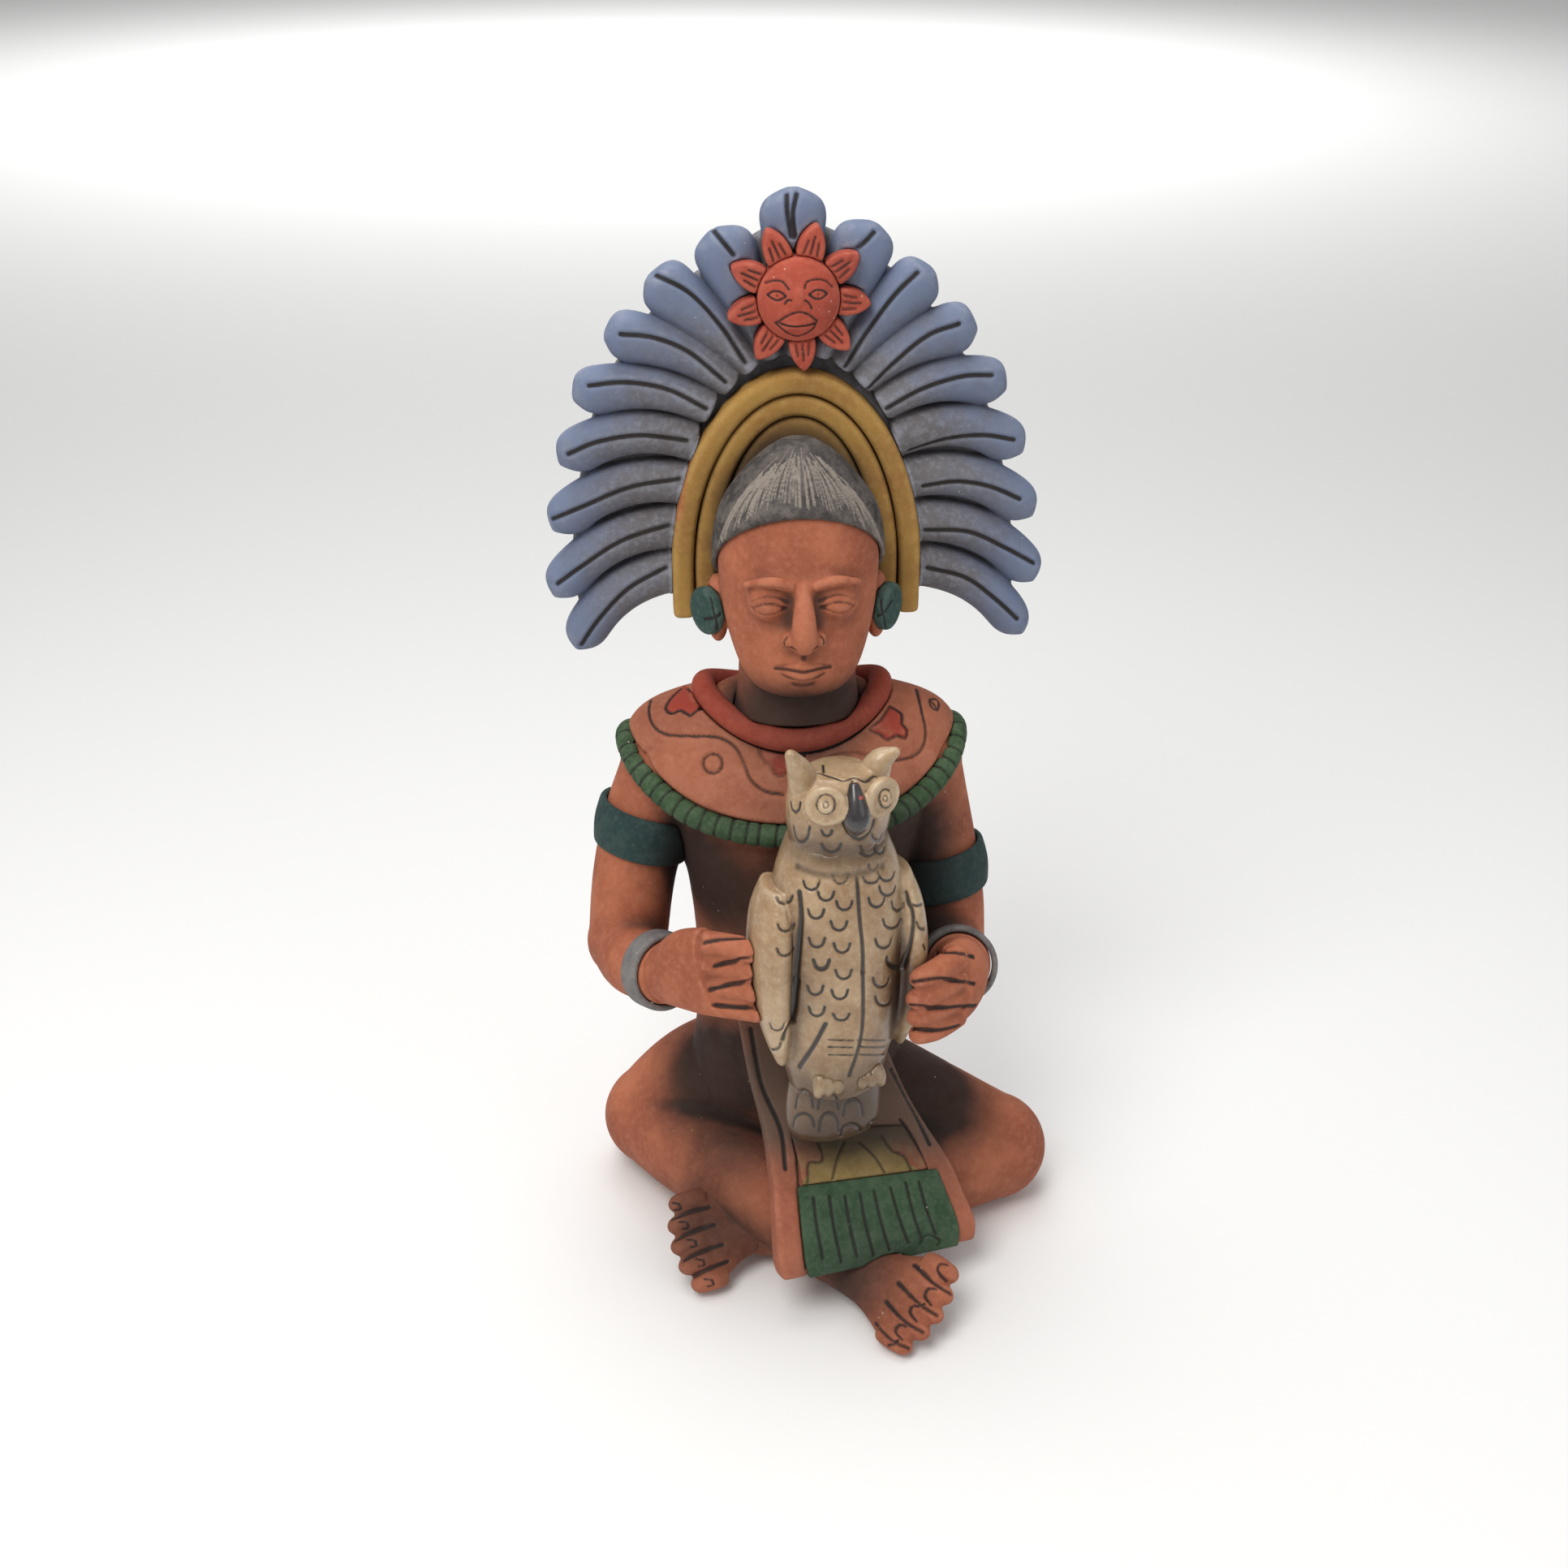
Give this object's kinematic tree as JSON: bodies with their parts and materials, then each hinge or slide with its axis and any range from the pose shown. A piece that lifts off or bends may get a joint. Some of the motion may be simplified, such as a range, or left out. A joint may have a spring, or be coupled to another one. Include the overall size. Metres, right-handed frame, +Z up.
{
  "type": "seated ceramic figure",
  "caption": "Cross-legged seated clay figure with a feather fan headdress and a beaded collar, both hands holding an owl.",
  "frame": {"origin": "on the surface the figure sits on, under the middle of its bounding box", "axes": "+Z up; the figure faces -Y and its own right side is on -X"},
  "size_m": [0.1928, 0.1512, 0.4],
  "materials": {
    "terracotta_skin": "matte, stained dark in the hollows",
    "hair_grey": "matte",
    "spool_green": "matte",
    "feather_grey": "matte",
    "feather_blue": "matte, darker towards the root",
    "arch_ochre": "satin",
    "sun_red": "matte",
    "collar_orange": "matte",
    "collar_red": "matte",
    "bead_green": "satin",
    "armband_teal": "matte",
    "bracelet_grey": "matte",
    "apron_clay": "matte",
    "panel_ochre": "matte",
    "fringe_green": "matte",
    "owl_cream": "satin, brown stain in the cuts",
    "beak_black": "gloss"
  },
  "bodies": {
    "root": {"torso": "terracotta_skin", "neck": "terracotta_skin", "head": "terracotta_skin", "right_ear": "terracotta_skin", "left_ear": "terracotta_skin", "right_arm": "terracotta_skin", "left_arm": "terracotta_skin", "right_hand": "terracotta_skin", "left_hand": "terracotta_skin", "right_leg": "terracotta_skin", "left_leg": "terracotta_skin", "right_foot": "terracotta_skin", "left_foot": "terracotta_skin", "hair_cap": "hair_grey", "right_ear_spool": "spool_green", "left_ear_spool": "spool_green", "headdress_plate": "feather_grey", "feather_crest": "feather_blue", "feather_right_1": "feather_blue", "feather_right_2": "feather_blue", "feather_right_3": "feather_blue", "feather_right_4": "feather_blue", "feather_right_5": "feather_blue", "feather_right_6": "feather_blue", "feather_right_7": "feather_blue", "feather_right_8": "feather_blue", "feather_left_1": "feather_blue", "feather_left_2": "feather_blue", "feather_left_3": "feather_blue", "feather_left_4": "feather_blue", "feather_left_5": "feather_blue", "feather_left_6": "feather_blue", "feather_left_7": "feather_blue", "feather_left_8": "feather_blue", "outer_arch": "arch_ochre", "middle_arch": "arch_ochre", "inner_arch": "arch_ochre", "sun_disc": "sun_red", "sun_rays": "sun_red", "collar": "collar_orange", "collar_neck_roll": "collar_red", "collar_rim": "bead_green", "right_armband": "armband_teal", "left_armband": "armband_teal", "right_bracelet": "bracelet_grey", "left_bracelet": "bracelet_grey", "apron": "apron_clay", "apron_panel": "panel_ochre", "apron_fringe": "fringe_green", "owl_body": "owl_cream", "owl_head": "owl_cream", "owl_ears": "owl_cream", "owl_eyes": "owl_cream", "owl_right_wing": "owl_cream", "owl_left_wing": "owl_cream", "owl_tail": "owl_cream", "owl_feet": "owl_cream", "owl_beak": "beak_black"}
  },
  "joints": []
}
